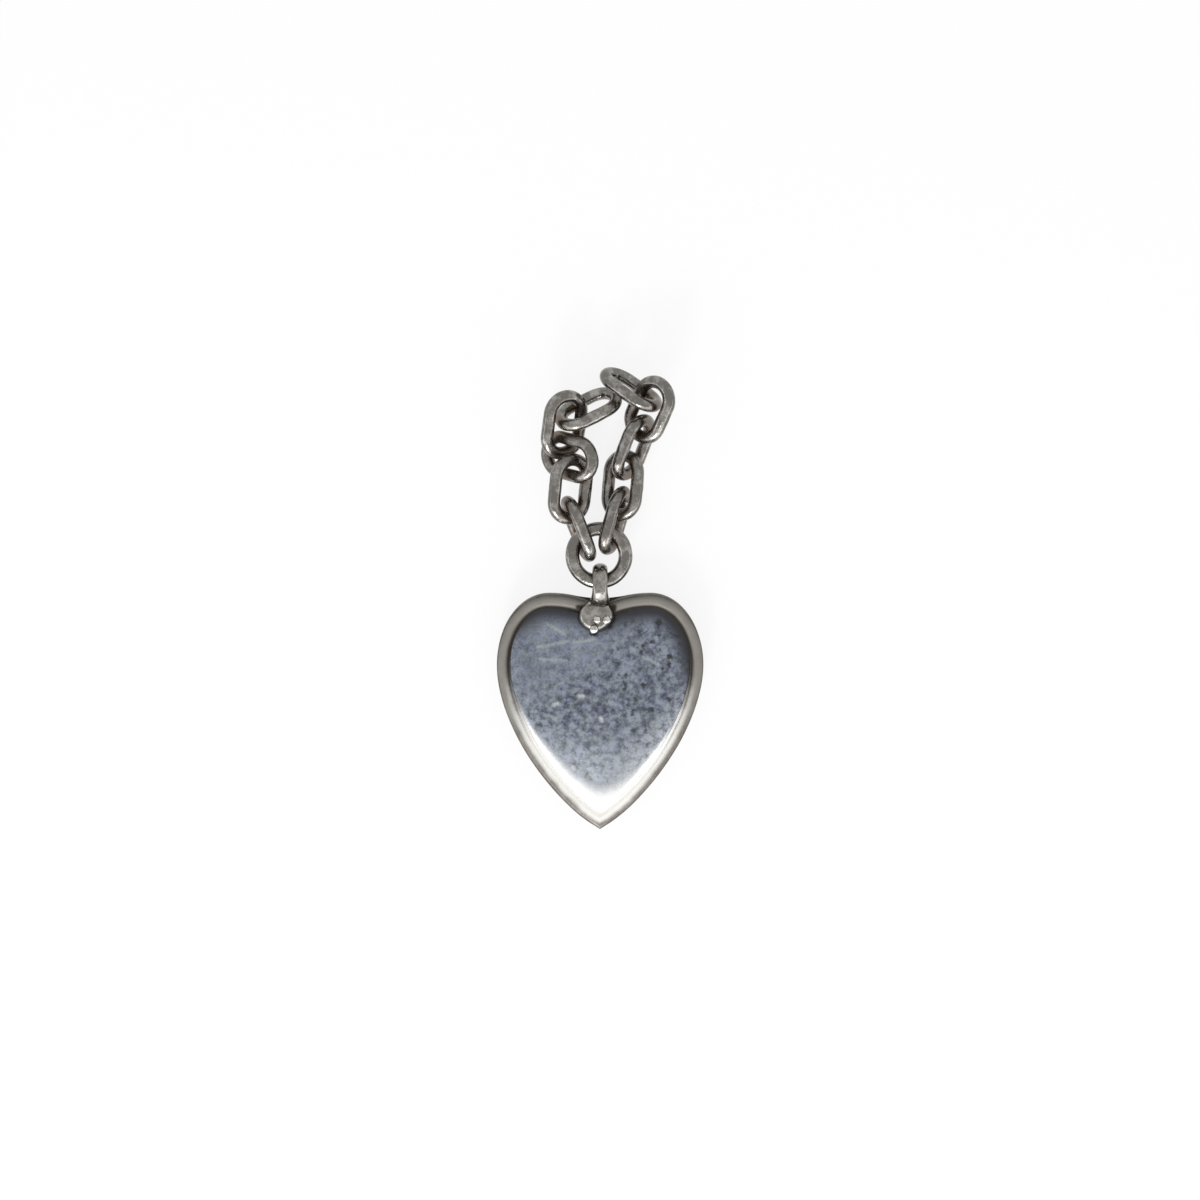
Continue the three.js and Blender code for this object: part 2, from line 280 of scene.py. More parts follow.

# %% [markdown]
# The face was polished once. Years of knocks left it mottled: a blue-grey skin broken into small pale
# and dark flecks, dark pits towards its right side, and a few scratches and bright nicks. Below the upper
# rim it carries painted shade. Each effect is a mask of its own, so its size and strength can be set
# against the photograph. A scratch is a straight stroke: the distance from a point to a line between
# two places on the face.

# %% Scratches on the face
SCRATCHES_MM = [
    ((-5.3, 9.0), (-3.5, 8.0)),
    ((-6.2, 6.7), (-3.1, 7.3)),
    ((-2.6, 7.2), (-0.5, 7.5)),
    ((-6.0, 5.5), (-3.4, 5.4)),
    ((4.3, 5.7), (5.8, 5.0)),
]
NICKS_MM = [
    ((-4.6, 0.9), (-4.3, 1.1)),
    ((-2.1, 1.9), (-1.7, 1.9)),
    ((0.1, -0.3), (0.2, -0.6)),
    ((-2.7, -5.5), (-2.6, -5.6)),
]
SCRATCH_WIDTH_MM = 0.3
NICK_WIDTH_MM = 0.36


def stroke(board, place, start_mm, end_mm, width_mm):
    """1 on the line of a scratch between two places on the face, fading to 0 at its width."""
    start = Vector((*start_mm, 0)) * MM
    run = Vector((*end_mm, 0)) * MM - start
    flat = board.add("ShaderNodeVectorMath", {"operation": "MULTIPLY"}, {0: place, 1: (1, 1, 0)})
    reach = board.add("ShaderNodeVectorMath", {"operation": "SUBTRACT"}, {0: flat, 1: start})
    aim = {0: reach, 1: run / run.length_squared}
    along = board.add("ShaderNodeVectorMath", {"operation": "DOT_PRODUCT"}, aim, out="Value")
    held = board.add("ShaderNodeClamp", {}, {"Value": along})
    nearest = board.add("ShaderNodeVectorMath", {"operation": "SCALE"}, {0: run, "Scale": held})
    ends = {0: reach, 1: nearest}
    miss = board.add("ShaderNodeVectorMath", {"operation": "DISTANCE"}, ends, out="Value")
    return 1 - soft_step(board, miss, 0, width_mm * MM)


# %% [markdown]
# Towards the tip the face is smooth and painted white, a painted reflection of the light. The edge of
# that zone is a V with a round bottom, a little lower on the right: a hyperbola, given by where it meets
# the middle line, how steep its arms are, how round its bottom is and how far it tilts. Along the rim
# the painted reflection runs a little further up, and above the zone painted sheen makes the skin pale.

# %% Face finish
# The zone of painted reflection at the tip.
REFLECTION_END = -7.5 * MM
REFLECTION_STEEP = 1.3
REFLECTION_ROUND = 3.5 * MM
REFLECTION_TILT = 0.08
REFLECTION_FADE = (REFLECTION_END - 1.4 * MM, REFLECTION_END + 0.6 * MM)
EDGE_REFLECTION = 1.1 * MM
SHEEN_ABOVE = 4.6 * MM
SHEEN_Y = (-7 * MM, 0)
CALM_Y = (3 * MM, 9 * MM)
SHADE_Y = (1 * MM, 9 * MM)
RIGHT_SIDE_X = (-1 * MM, 5 * MM)
PIT_SPACING = 0.9 * MM

BLUE_DARK = linear(76, 80, 94)
BLUE_PALE = linear(144, 150, 166)
GREY_DARK = linear(76, 81, 89)
GREY_PALE = linear(146, 153, 161)
PIT_DARK = linear(58, 57, 58)
SCRATCH_PALE = linear(170, 175, 174)
NICK_PALE = linear(222, 223, 225)
# Painted sheen: paler skin next to the painted reflection.
PAINTED_SHEEN = linear(188, 192, 195)
# Painted reflection: the white of the light mirrored in the dome's lower slope.
FACE_PAINTED_REFLECTION = linear(246, 246, 244)
FACE_SHADE = linear(60, 61, 65)


def make_face_silver():
    material = bpy.data.materials.new("mottled_face_silver")
    board = NodeBoard(material)
    place = place_on(board)
    spot = board.add("ShaderNodeSeparateXYZ", {}, {"Vector": place})
    closeness = board.add("ShaderNodeAttribute", {"attribute_name": "closeness"}, out="Fac")
    drifts = cloud(board, place, size_mm=3.2)
    flecks = cloud(board, place, size_mm=0.68, detail=3.0, roughness=0.6)
    grains = cloud(board, place, size_mm=0.22, detail=3.0)
    # The mottled skin, calmer at the upper left and paler towards the tip, a painted sheen.
    calm = soft_step(board, spot.output("Y") - 0.7 * spot.output("X"), *CALM_Y)
    speckle = (1 - 0.6 * calm) * (flecks - 0.5) + 0.03 * calm
    sheen_share = 1 - soft_step(board, spot.output("Y") + 3 * MM * (drifts - 0.5), *SHEEN_Y)
    mottle = 1.8 * speckle + 0.45 * (drifts - 0.5) + 0.6 * (grains - 0.5)
    tone = soft_step(board, 0.5 + mottle + 0.16 * sheen_share, 0.1, 0.9)
    blue_skin = mix_colour(board, tone, BLUE_DARK, BLUE_PALE)
    grey_skin = mix_colour(board, tone, GREY_DARK, GREY_PALE)
    hue = soft_step(board, cloud(board, place, size_mm=1.0), 0.38, 0.62)
    skin = mix_colour(board, hue, blue_skin, grey_skin)
    # Dark pits towards the right side.
    grid = {"Vector": place, "Scale": 1 / PIT_SPACING}
    cells = board.add("ShaderNodeTexVoronoi", {}, grid, out="Distance")
    chance = board.add("ShaderNodeSeparateColor", {}, {"Color": cells.output("Color")})
    right_side = soft_step(board, spot.output("X") + 4 * MM * (drifts - 0.5), *RIGHT_SIDE_X)
    blots = 1 - soft_step(board, cells + 1.2 * (flecks - 0.5), 0.12, 0.42)
    pits = right_side * blots * soft_step(board, chance, 0.45, 0.6)
    pitted = mix_colour(board, 0.85 * pits, skin, PIT_DARK)
    # Scratches and nicks, broken up by the grains.
    broken = soft_step(board, grains, 0.1, 0.55)
    scratches = broken * sum(stroke(board, place, *ends, SCRATCH_WIDTH_MM) for ends in SCRATCHES_MM)
    scratched = mix_colour(board, 0.55 * scratches, pitted, SCRATCH_PALE)
    nicks = (0.3 + grains) * sum(stroke(board, place, *ends, NICK_WIDTH_MM) for ends in NICKS_MM)
    nicked = mix_colour(board, 0.66 * nicks, scratched, NICK_PALE)
    # The painted reflection at the tip, with painted sheen above it.
    across = spot.output("X")
    arms = board.add("ShaderNodeMath", {"operation": "SQRT"}, {0: across * across + REFLECTION_ROUND ** 2})
    rise = REFLECTION_STEEP * (arms - REFLECTION_ROUND) - REFLECTION_TILT * across
    at_edge = soft_step(board, closeness, 0.7, 1.0)
    above = spot.output("Y") - rise + 1.5 * MM * (flecks - 0.5) - EDGE_REFLECTION * at_edge
    near_reflection = 1 - soft_step(board, above, REFLECTION_END, REFLECTION_END + SHEEN_ABOVE)
    fading = (0.35 + 0.65 * right_side) * near_reflection
    halo = fading * soft_step(board, flecks + 0.6 * (grains - 0.5), 0.2, 0.75)
    sheened = mix_colour(board, 0.24 * sheen_share + 0.72 * halo, nicked, PAINTED_SHEEN)
    painted_reflection = 1 - soft_step(board, above, *REFLECTION_FADE)
    wear_and_reflection = mix_colour(board, painted_reflection, sheened, FACE_PAINTED_REFLECTION)
    # Painted shade below the upper rim.
    upper = soft_step(board, spot.output("Y") + 0.3 * spot.output("X"), *SHADE_Y)
    shade = soft_step(board, upper * closeness + 0.3 * (drifts - 0.5) + 0.2 * (flecks - 0.5), 0.18, 0.9)
    colour = mix_colour(board, shade, wear_and_reflection, FACE_SHADE)
    roughness = 0.16 + 0.14 * flecks + 0.1 * pits
    relief = (1 - painted_reflection) * (0.7 * flecks + 0.3 * grains - 0.2 * pits - 0.5 * scratches)
    close_metal(board, colour, roughness, relief, depth_mm=0.018)
    return material


face_silver = make_face_silver()
print("made", face_silver.name)

# %% [markdown]
# The eye and the solder below it are rubbed by the jump ring and by fingers, so they are smoother than
# the rim, with brown tarnish only in their creases. The small drops of solder stand proud and are rubbed
# brightest, and their pale colour is partly painted highlight, so the same finish is made twice, in two
# tones.

# %% Solder finish
SOLDER_TARNISH = linear(128, 122, 115)
EYE_DULL = linear(116, 113, 108)
EYE_BRIGHT = linear(154, 151, 146)
# The drops' paler tones are rubbed solder and partly painted highlight.
DROP_DULL = linear(150, 147, 142)
DROP_BRIGHT = linear(206, 204, 199)


def make_solder_silver(name, dull, bright):
    material = bpy.data.materials.new(name)
    board = NodeBoard(material)
    place = place_on(board)
    closeness = board.add("ShaderNodeAttribute", {"attribute_name": "closeness"}, out="Fac")
    patches = cloud(board, place, size_mm=0.8)
    grains = cloud(board, place, size_mm=0.2, detail=4.0)
    tone = soft_step(board, patches + 0.4 * (grains - 0.5), 0.3, 0.7)
    silver = mix_colour(board, tone, dull, bright)
    tarnish_and_shade = soft_step(board, closeness + 0.4 * (patches - 0.5) + 0.1 * (grains - 0.5), 0.4, 0.95)
    colour = mix_colour(board, tarnish_and_shade, silver, SOLDER_TARNISH)
    roughness = 0.15 + 0.2 * tarnish_and_shade + 0.12 * grains
    close_metal(board, colour, roughness, grains, depth_mm=0.008)
    return material


eye_silver = make_solder_silver("rubbed_eye_silver", EYE_DULL, EYE_BRIGHT)
drop_silver = make_solder_silver("bright_drop_silver", DROP_DULL, DROP_BRIGHT)
print("made", eye_silver.name, "and", drop_silver.name)

# %% [markdown]
# The back lies against clothes, so it is rubbed in all directions: two sets of fine crossed hairlines
# over an even grey, with soft tarnish clouds.

# %% Back finish
BACK_DULL = linear(104, 100, 95)
BACK_BRIGHT = linear(150, 147, 142)
FIRST_RUB_TURN = 25
SECOND_RUB_TURN = -50
HAIRLINE_STRETCH = (1.0, 0.05, 1.0)


def make_back_silver():
    material = bpy.data.materials.new("rubbed_back_silver")
    board = NodeBoard(material)
    place = place_on(board)
    patches = cloud(board, place, size_mm=2.8)
    first_way = turned(board, place, FIRST_RUB_TURN, HAIRLINE_STRETCH)
    second_way = turned(board, place, SECOND_RUB_TURN, HAIRLINE_STRETCH)
    first_rub = cloud(board, first_way, size_mm=0.12, detail=2.0)
    second_rub = cloud(board, second_way, size_mm=0.15, detail=2.0)
    hairlines = 0.5 * first_rub + 0.5 * second_rub
    tone = soft_step(board, patches + 0.6 * (hairlines - 0.5), 0.3, 0.75)
    colour = mix_colour(board, tone, BACK_DULL, BACK_BRIGHT)
    close_metal(board, colour, 0.34 + 0.14 * hairlines, hairlines, depth_mm=0.012)
    return material


back_silver = make_back_silver()
print("made", back_silver.name)

# %% [markdown]
# Every modelled piece ends the same way: doubles are merged, faces are turned outwards, and the mesh
# becomes an object at the origin that rides its CAD body and stands for its CAD node. One helper does
# it, so no piece forgets a step.

# %% Finish a piece
BODY_OF = {node: body for body, nodes in frame["record"]["behaviour"]["bodies"].items() for node in nodes}
SHARP_TURN = math.radians(40)
DOUBLES_REACH = 0.0005 * MM


def finish_piece(bm, name, node, material):
    bmesh.ops.remove_doubles(bm, verts=bm.verts, dist=DOUBLES_REACH)
    bmesh.ops.recalc_face_normals(bm, faces=bm.faces)
    mesh = bpy.data.meshes.new(name)
    bm.to_mesh(mesh)
    bm.free()
    mesh.shade_smooth()
    mesh.set_sharp_from_angle(angle=SHARP_TURN)
    mesh.materials.append(material)
    piece = bpy.data.objects.new(name, mesh)
    scene.collection.objects.link(piece)
    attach(piece, BODY_OF[node])
    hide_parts(node)
    print(name, "has", len(mesh.polygons), "faces and rides", BODY_OF[node])
    return piece


# %% [markdown]
# Nothing on a hand-made trinket is exactly even. This helper pushes each vertex along its normal by a
# smooth noise, so a wire or a lip looks worked. Then comes the closeness: how close each vertex is to
# the CAD solids of other pieces, found with a tree of their triangles.

# %% Hand-worked surface and grime
SEED_STRIDES = (7.3, 3.1, 5.7)


def hand_work(bm, amount_mm, size_mm, seed):
    bm.normal_update()
    shift = Vector([seed * stride for stride in SEED_STRIDES])
    for vert in bm.verts:
        vert.co += vert.normal * noise.noise(vert.co / (size_mm * MM) + shift) * amount_mm * MM


def tree_of(nodes):
    corners = []
    triangles = []
    for node in nodes:
        mesh = frame["nodes"][node].data
        start = len(corners)
        corners.extend(vert.co.copy() for vert in mesh.vertices)
        triangles.extend([start + index for index in face.vertices] for face in mesh.polygons)
    return BVHTree.FromPolygons(corners, triangles)


def mark_nearness(piece, name, others, reach_mm):
    """Gives every vertex a number: 1 where it touches another piece, 0 beyond the reach."""
    tree = tree_of(others)
    marks = piece.data.attributes.new(name, "FLOAT", "POINT")
    for vert, mark in zip(piece.data.vertices, marks.data):
        near = tree.find_nearest(vert.co, reach_mm * MM)[3]
        mark.value = 0.0 if near is None else 1.0 - near / (reach_mm * MM)


# %% [markdown]
# The heart is one closed curve with six knots: the cleft, the two crowns, the two widest points and
# the tip. A Bezier curve draws it with only those knots and their handles. The box of the CAD rim gives
# the width, the top and the tip, and a few shape values give the rest.

# %% Heart outline
HALF_WIDTH = rim_high.x
CROWN_Y = rim_high.y
TIP_Y = rim_low.y
CROWN_X = 5.1 * MM
WIDEST_Y = CROWN_Y - 7.0 * MM
CLEFT_Y = CROWN_Y - 1.1 * MM
CLEFT_HANDLE = 0.7 * MM
CROWN_HANDLE = 3.2 * MM
SIDE_HANDLE = 6.4 * MM
TIP_HANDLE = 5.2 * MM
TIP_HALF_ANGLE = math.radians(60.5)
ROUND_HANDLE = 0.5523
CURVE_STEPS = 36
TIP_STRAIGHT = 0.95 * MM
TIP_POINT = 0.001 * MM


def heart_knots():
    """Each knot as its handle before, itself and its handle after, right half first, then the left."""
    quarter_x = ROUND_HANDLE * (HALF_WIDTH - CROWN_X)
    quarter_y = ROUND_HANDLE * (CROWN_Y - WIDEST_Y)
    tip_x = TIP_HANDLE * math.sin(TIP_HALF_ANGLE)
    tip_y = TIP_Y + TIP_HANDLE * math.cos(TIP_HALF_ANGLE)
    cleft = [(-CLEFT_HANDLE, CLEFT_Y), (0, CLEFT_Y), (CLEFT_HANDLE, CLEFT_Y)]
    crown = [(CROWN_X - CROWN_HANDLE, CROWN_Y), (CROWN_X, CROWN_Y), (CROWN_X + quarter_x, CROWN_Y)]
    widest = [(HALF_WIDTH, y) for y in (WIDEST_Y + quarter_y, WIDEST_Y, WIDEST_Y - SIDE_HANDLE)]
    tip = [(tip_x, tip_y), (0, TIP_Y), (-tip_x, tip_y)]
    mirrored = [[(-x, y) for x, y in reversed(knot)] for knot in (widest, crown)]
    return [cleft, crown, widest, tip] + mirrored


def heart_loop():
    """A new bmesh with the outline as one closed loop of edges on the table."""
    curve = bpy.data.curves.new("heart_outline", "CURVE")
    curve.dimensions = "3D"
    curve.resolution_u = CURVE_STEPS
    knots = heart_knots()
    spline = curve.splines.new("BEZIER")
    spline.bezier_points.add(len(knots) - 1)
    spline.use_cyclic_u = True
    for point, (before, middle, after) in zip(spline.bezier_points, knots):
        point.handle_left_type = "FREE"
        point.handle_right_type = "FREE"
        point.handle_left = (*before, 0)
        point.co = (*middle, 0)
        point.handle_right = (*after, 0)
    holder = bpy.data.objects.new("heart_outline", curve)
    bm = bmesh.new()
    bm.from_mesh(holder.to_mesh())
    holder.to_mesh_clear()
    bpy.data.objects.remove(holder)
    bpy.data.curves.remove(curve)
    return bm


def only(kind, parts):
    return [part for part in parts if isinstance(part, kind)]


def inset_border(bm, faces, width):
    inset = {"thickness": width, "use_boundary": True, "use_even_offset": True}
    return bmesh.ops.inset_region(bm, faces=faces, **inset)["faces"]


def heart_sheet(inset):
    """A bmesh with one flat heart-shaped face, drawn in from the outline by an even margin.

    The last stretch to the tip is made straight, so that an inset stays clean there.
    """
    bm = heart_loop()
    sheet = bmesh.ops.contextual_create(bm, geom=bm.edges[:])["faces"]
    tip = Vector((0, TIP_Y, 0))
    crowded = [v for v in bm.verts if TIP_POINT < (v.co - tip).length < TIP_STRAIGHT]
    bmesh.ops.dissolve_verts(bm, verts=crowded)
    if inset > 0:
        margin = inset_border(bm, sheet, inset)
        bmesh.ops.delete(bm, geom=margin, context="FACES")
    return bm


print("heart is", round(2 * HALF_WIDTH / MM, 1), "by", round((CROWN_Y - TIP_Y) / MM, 1), "mm")

# %% [markdown]
# The back is a plain heart cut from sheet. The flat heart is extruded upwards into a plate, and its
# lower edge is bevelled, as a file would break it.

# %% Back sheet
back_low, back_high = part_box("back_plate")
BACK_EDGE = 0.15 * MM
BACK_EDGE_STEPS = 3


def move_up(bm, made, height):
    bmesh.ops.translate(bm, verts=only(bmesh.types.BMVert, made["geom"]), vec=(0, 0, height))


def make_back_sheet():
    bm = heart_sheet(0)
    made = bmesh.ops.extrude_face_region(bm, geom=bm.faces[:], use_keep_orig=True)
    move_up(bm, made, back_high.z - back_low.z)
    lower = [e for e in bm.edges if all(v.co.z < BACK_EDGE / 2 for v in e.verts)]
    broken_edge = {"offset": BACK_EDGE, "segments": BACK_EDGE_STEPS, "profile": 0.5}
    bmesh.ops.bevel(bm, geom=lower, affect="EDGES", material=-1, **broken_edge)
    finish_piece(bm, "back_sheet", "back_plate", back_silver)


make_back_sheet()

# %% [markdown]
# The bearing strip is a ledge inside the rim that the face rests on. Nothing of it shows, so the CAD
# node stays and only takes the back's finish.

# %% Bearing strip
frame["nodes"]["bearing_strip"].material_slots[0].material = back_silver
print("bearing_strip keeps its CAD solid and takes", back_silver.name)

# %% [markdown]
# The rim is a band of metal on edge with a rounded lip. The heart is extruded into a wall, and its top
# is inset again and again, first rising and then falling along a quarter circle, so the lip is round and
# the sharp tip stays a clean mitre, which a bevel would tear. Hand work makes the lip a little uneven.

# %% Rim
RIM_WIDTH = 1.15 * MM
RIM_LIP = 0.46 * MM
LIP_STEPS = 7


def lip_profile():
    """Inset and height of each loop over the lip, from the outer wall to the inner wall."""
    turns = [math.pi / 2 * step / LIP_STEPS for step in range(LIP_STEPS + 1)]
    outer = [(RIM_LIP * (1 - math.cos(turn)), RIM_LIP * math.sin(turn)) for turn in turns]
    return outer + [(RIM_WIDTH - inset, height) for inset, height in reversed(outer)]


def make_rim():
    bm = heart_sheet(0)
    bmesh.ops.translate(bm, verts=bm.verts, vec=(0, 0, rim_low.z))
    outer_foot = bm.edges[:]
    wall_height = rim_high.z - rim_low.z - RIM_LIP
    made = bmesh.ops.extrude_face_region(bm, geom=bm.faces[:])
    move_up(bm, made, wall_height)
    top = only(bmesh.types.BMFace, made["geom"])
    before_inset, before_height = 0.0, 0.0
    for inset, height in lip_profile()[1:]:
        inset_border(bm, top, inset - before_inset)
        bmesh.ops.translate(bm, verts=top[0].verts[:], vec=(0, 0, height - before_height))
        before_inset, before_height = inset, height
    made = bmesh.ops.extrude_face_region(bm, geom=top)
    move_up(bm, made, -wall_height)
    floor_face = only(bmesh.types.BMFace, made["geom"])
    inner_foot = floor_face[0].edges[:]
    bmesh.ops.delete(bm, geom=floor_face, context="FACES_ONLY")
    bmesh.ops.bridge_loops(bm, edges=outer_foot + inner_foot)
    bmesh.ops.recalc_face_normals(bm, faces=bm.faces)
    hand_work(bm, amount_mm=0.035, size_mm=3.5, seed=1)
    piece = finish_piece(bm, "rim_lip", "rim_band", rim_silver)
    mark_nearness(piece, "closeness", ["face_plate", "eye_foot", "eye_ring"], reach_mm=0.55)
    mark_nearness(piece, "inner_side", ["face_plate"], reach_mm=1.3)


make_rim()

# %% [markdown]
# The face is a dome raised from sheet. Its edge loop is extruded inwards again and again, each time
# scaled towards the middle and lifted a little less, until the last loop merges to a point.

# %% Raise a dome from an edge loop
def new_loop(made):
    """The vertices that an extrusion of edges made, and the edges between them."""
    verts = only(bmesh.types.BMVert, made)
    edges = [e for e in only(bmesh.types.BMEdge, made) if all(v in verts for v in e.verts)]
    return verts, edges


def raise_dome(bm, ring, middle, steps):
    """Extrudes a ring of edges inwards to a point. Each step is the ring's size share and its height."""
    before_share, before_height = 1.0, 0.0
    for share, height in steps:
        verts, ring = new_loop(bmesh.ops.extrude_edge_only(bm, edges=ring)["geom"])
        if share == 0:
            top = Vector((middle.x, middle.y, verts[0].co.z + height - before_height))
            bmesh.ops.pointmerge(bm, verts=verts, merge_co=top)
            return
        scale = Vector((share, share, before_share)) / before_share
        bmesh.ops.scale(bm, verts=verts, vec=scale, space=Matrix.Translation(-middle))
        bmesh.ops.translate(bm, verts=verts, vec=(0, 0, height - before_height))
        before_share, before_height = share, height


# %% [markdown]
# Rings alone leave a crease from the tip to the middle, because every ring has the heart's corner in
# it. A smith would planish that away. Here each vertex is brought to the mean height of a small circle
# round it, a few times over. The circle shrinks near the border, so the edge of the face stays put.

# %% Domed face
face_low, face_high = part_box("face_plate")
FACE_GAP = 0.12 * MM
FACE_INSET = RIM_WIDTH + FACE_GAP
FACE_DROP = 0.5 * MM
FACE_EDGE_Z = rim_high.z - FACE_DROP
FACE_THICKNESS = FACE_EDGE_Z - face_low.z
DOME_MIDDLE = Vector((0, 1.5 * MM, 0))
DOME_RISE = face_high.z - FACE_EDGE_Z
DOME_RINGS = 44
DOME_ROUNDING = 2.0 * MM
ROUNDING_SHARE = 0.8
ROUNDING_PASSES = 4
ROUNDING_SAMPLES = 12


def round_off(bm, verts, border):
    """Brings each vertex to the mean height round it, in a circle that stays inside the border."""
    edge = KDTree(len(border))
    for index, vert in enumerate(border):
        edge.insert(vert.co, index)
    edge.balance()
    turns = [math.tau * step / ROUNDING_SAMPLES for step in range(ROUNDING_SAMPLES)]
    circle = [Vector((math.cos(turn), math.sin(turn), 0)) for turn in turns]
    above = Vector((0, 0, 2 * DOME_RISE))
    for _ in range(ROUNDING_PASSES):
        tree = BVHTree.FromBMesh(bm)
        heights = []
        for vert in verts:
            flat = Vector((vert.co.x, vert.co.y, FACE_EDGE_Z))
            reach = min(DOME_ROUNDING, ROUNDING_SHARE * edge.find(flat)[2])
            tops = [tree.ray_cast(flat + reach * way + above, (0, 0, -1))[0] for way in circle]
            heights.append(sum(top.z for top in tops) / ROUNDING_SAMPLES)
        for vert, height in zip(verts, heights):
            vert.co.z = height


def make_face():
    bm = heart_sheet(FACE_INSET)
    bmesh.ops.translate(bm, verts=bm.verts, vec=(0, 0, FACE_EDGE_Z))
    bmesh.ops.delete(bm, geom=bm.faces[:], context="FACES_ONLY")
    edge_verts = bm.verts[:]
    edge = bm.edges[:]
    shares = [1 - step / DOME_RINGS for step in range(1, DOME_RINGS + 1)]
    raise_dome(bm, edge, DOME_MIDDLE, [(share, DOME_RISE * (1 - share ** 2)) for share in shares])
    inner = [v for v in bm.verts if v not in edge_verts]
    round_off(bm, inner, edge_verts)
    lift = DOME_RISE / (max(v.co.z for v in inner) - FACE_EDGE_Z)
    bmesh.ops.scale(bm, verts=inner, vec=(1, 1, lift), space=Matrix.Translation((0, 0, -FACE_EDGE_Z)))
    bmesh.ops.recalc_face_normals(bm, faces=bm.faces)
    hand_work(bm, amount_mm=0.02, size_mm=2.2, seed=2)
    wall = bmesh.ops.extrude_edge_only(bm, edges=edge)["geom"]
    foot_verts = only(bmesh.types.BMVert, wall)
    bmesh.ops.translate(bm, verts=foot_verts, vec=(0, 0, -FACE_THICKNESS))
    bmesh.ops.contextual_create(bm, geom=foot_verts)
    piece = finish_piece(bm, "domed_face", "face_plate", face_silver)
    mark_nearness(piece, "closeness", ["rim_band"], reach_mm=3.0)


make_face()

# %% [markdown]
# The eye is a strap of metal bent into a ring that stands across the cleft. An oval section is spun
# once round the ring's axis. Near its base the strap widens into the solder that holds it.

# %% Eye
eye_low, eye_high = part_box("eye_ring")
EYE_MIDDLE = (eye_low + eye_high) / 2
EYE_WIDTH = eye_high.x - eye_low.x
EYE_STRAP = 0.9 * MM
EYE_RADIUS = (eye_high.z - eye_low.z) / 2 - EYE_STRAP / 2
EYE_FLARE = 0.5
FLARE_START = EYE_MIDDLE.y - 0.4 * MM
FLARE_LENGTH = 1.6 * MM
EYE_SIDES = 24
EYE_STEPS = 56


def make_eye():
    bm = bmesh.new()
    verts = bmesh.ops.create_circle(bm, segments=EYE_SIDES, radius=0.5)["verts"]
    bmesh.ops.scale(bm, verts=verts, vec=(EYE_WIDTH, EYE_STRAP, 1))
    bmesh.ops.translate(bm, verts=verts, vec=EYE_MIDDLE + Vector((0, EYE_RADIUS, 0)))
    section = bm.verts[:] + bm.edges[:]
    full_turn = {"axis": (1, 0, 0), "angle": math.tau, "steps": EYE_STEPS, "use_merge": True}
    bmesh.ops.spin(bm, geom=section, cent=EYE_MIDDLE, **full_turn)
    for vert in bm.verts:
        low = min(max((FLARE_START - vert.co.y) / FLARE_LENGTH, 0), 1)
        vert.co.x *= 1 + EYE_FLARE * low * low
    bmesh.ops.recalc_face_normals(bm, faces=bm.faces)
    hand_work(bm, amount_mm=0.04, size_mm=1.0, seed=3)
    piece = finish_piece(bm, "eye_strap", "eye_ring", eye_silver)
    mark_nearness(piece, "closeness", ["jump_ring", "rim_band"], reach_mm=0.6)


make_eye()

# %% [markdown]
# Below the eye, solder ran over the rim and froze as a rounded tongue. A circle is stretched to the
# tongue's plan and drawn to a narrow toe, and the same dome helper raises it as a pillow: flat on top
# and steep at its edge. Its heel runs on under the eye, so no gap shows between them.

# %% Solder foot
foot_low, foot_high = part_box("eye_foot")
BEAD_NODES = ["foot_bead_1", "foot_bead_2", "foot_bead_3"]
FOOT_SINK = 0.5 * MM
FOOT_HEEL = 0.5 * MM
FOOT_TOE_SHARE = 0.75
FOOT_LEAN = -0.1 * MM
FOOT_SEED = 4
FOOT_SIDES = 48
FOOT_RINGS = 14
PILLOW = 0.6


def make_foot():
    middle = (foot_low + foot_high) / 2 + Vector((0, FOOT_HEEL / 2, 0))
    size = foot_high - foot_low + Vector((0, FOOT_HEEL, 0))
    bm = bmesh.new()
    verts = bmesh.ops.create_circle(bm, segments=FOOT_SIDES, radius=0.5)["verts"]
    bmesh.ops.scale(bm, verts=verts, vec=(size.x, size.y, 1))
    for vert in verts:
        toe = min(max(-vert.co.y / (size.y / 2), 0), 1)
        vert.co.x = vert.co.x * (1 - (1 - FOOT_TOE_SHARE) * toe) + FOOT_LEAN * toe
    bmesh.ops.translate(bm, verts=verts, vec=(middle.x, middle.y, foot_low.z - FOOT_SINK))
    turns = [math.pi / 2 * step / FOOT_RINGS for step in range(1, FOOT_RINGS + 1)]
    rise = size.z + FOOT_SINK
    shares = [math.cos(turn) ** PILLOW for turn in turns[:-1]] + [0]
    steps = [(share, rise * math.sin(turn) ** PILLOW) for share, turn in zip(shares, turns)]
    foot_edge = bm.edges[:]
    raise_dome(bm, foot_edge, Vector((middle.x, middle.y, 0)), steps)
    bmesh.ops.contextual_create(bm, geom=foot_edge)
    bmesh.ops.recalc_face_normals(bm, faces=bm.faces)
    hand_work(bm, amount_mm=0.06, size_mm=1.1, seed=FOOT_SEED)
    piece = finish_piece(bm, "solder_foot", "eye_foot", eye_silver)
    mark_nearness(piece, "closeness", BEAD_NODES + ["face_plate"], reach_mm=0.4)


make_foot()

# %% [markdown]
# Three drops of solder stand on the foot. Each begins as a ball, is scaled to its CAD box, lowered
# until about its widest part meets the foot, and made lumpy, so no two look alike.

# %% Solder beads
BEAD_SINK = 0.32 * MM
BEAD_DETAIL = 4

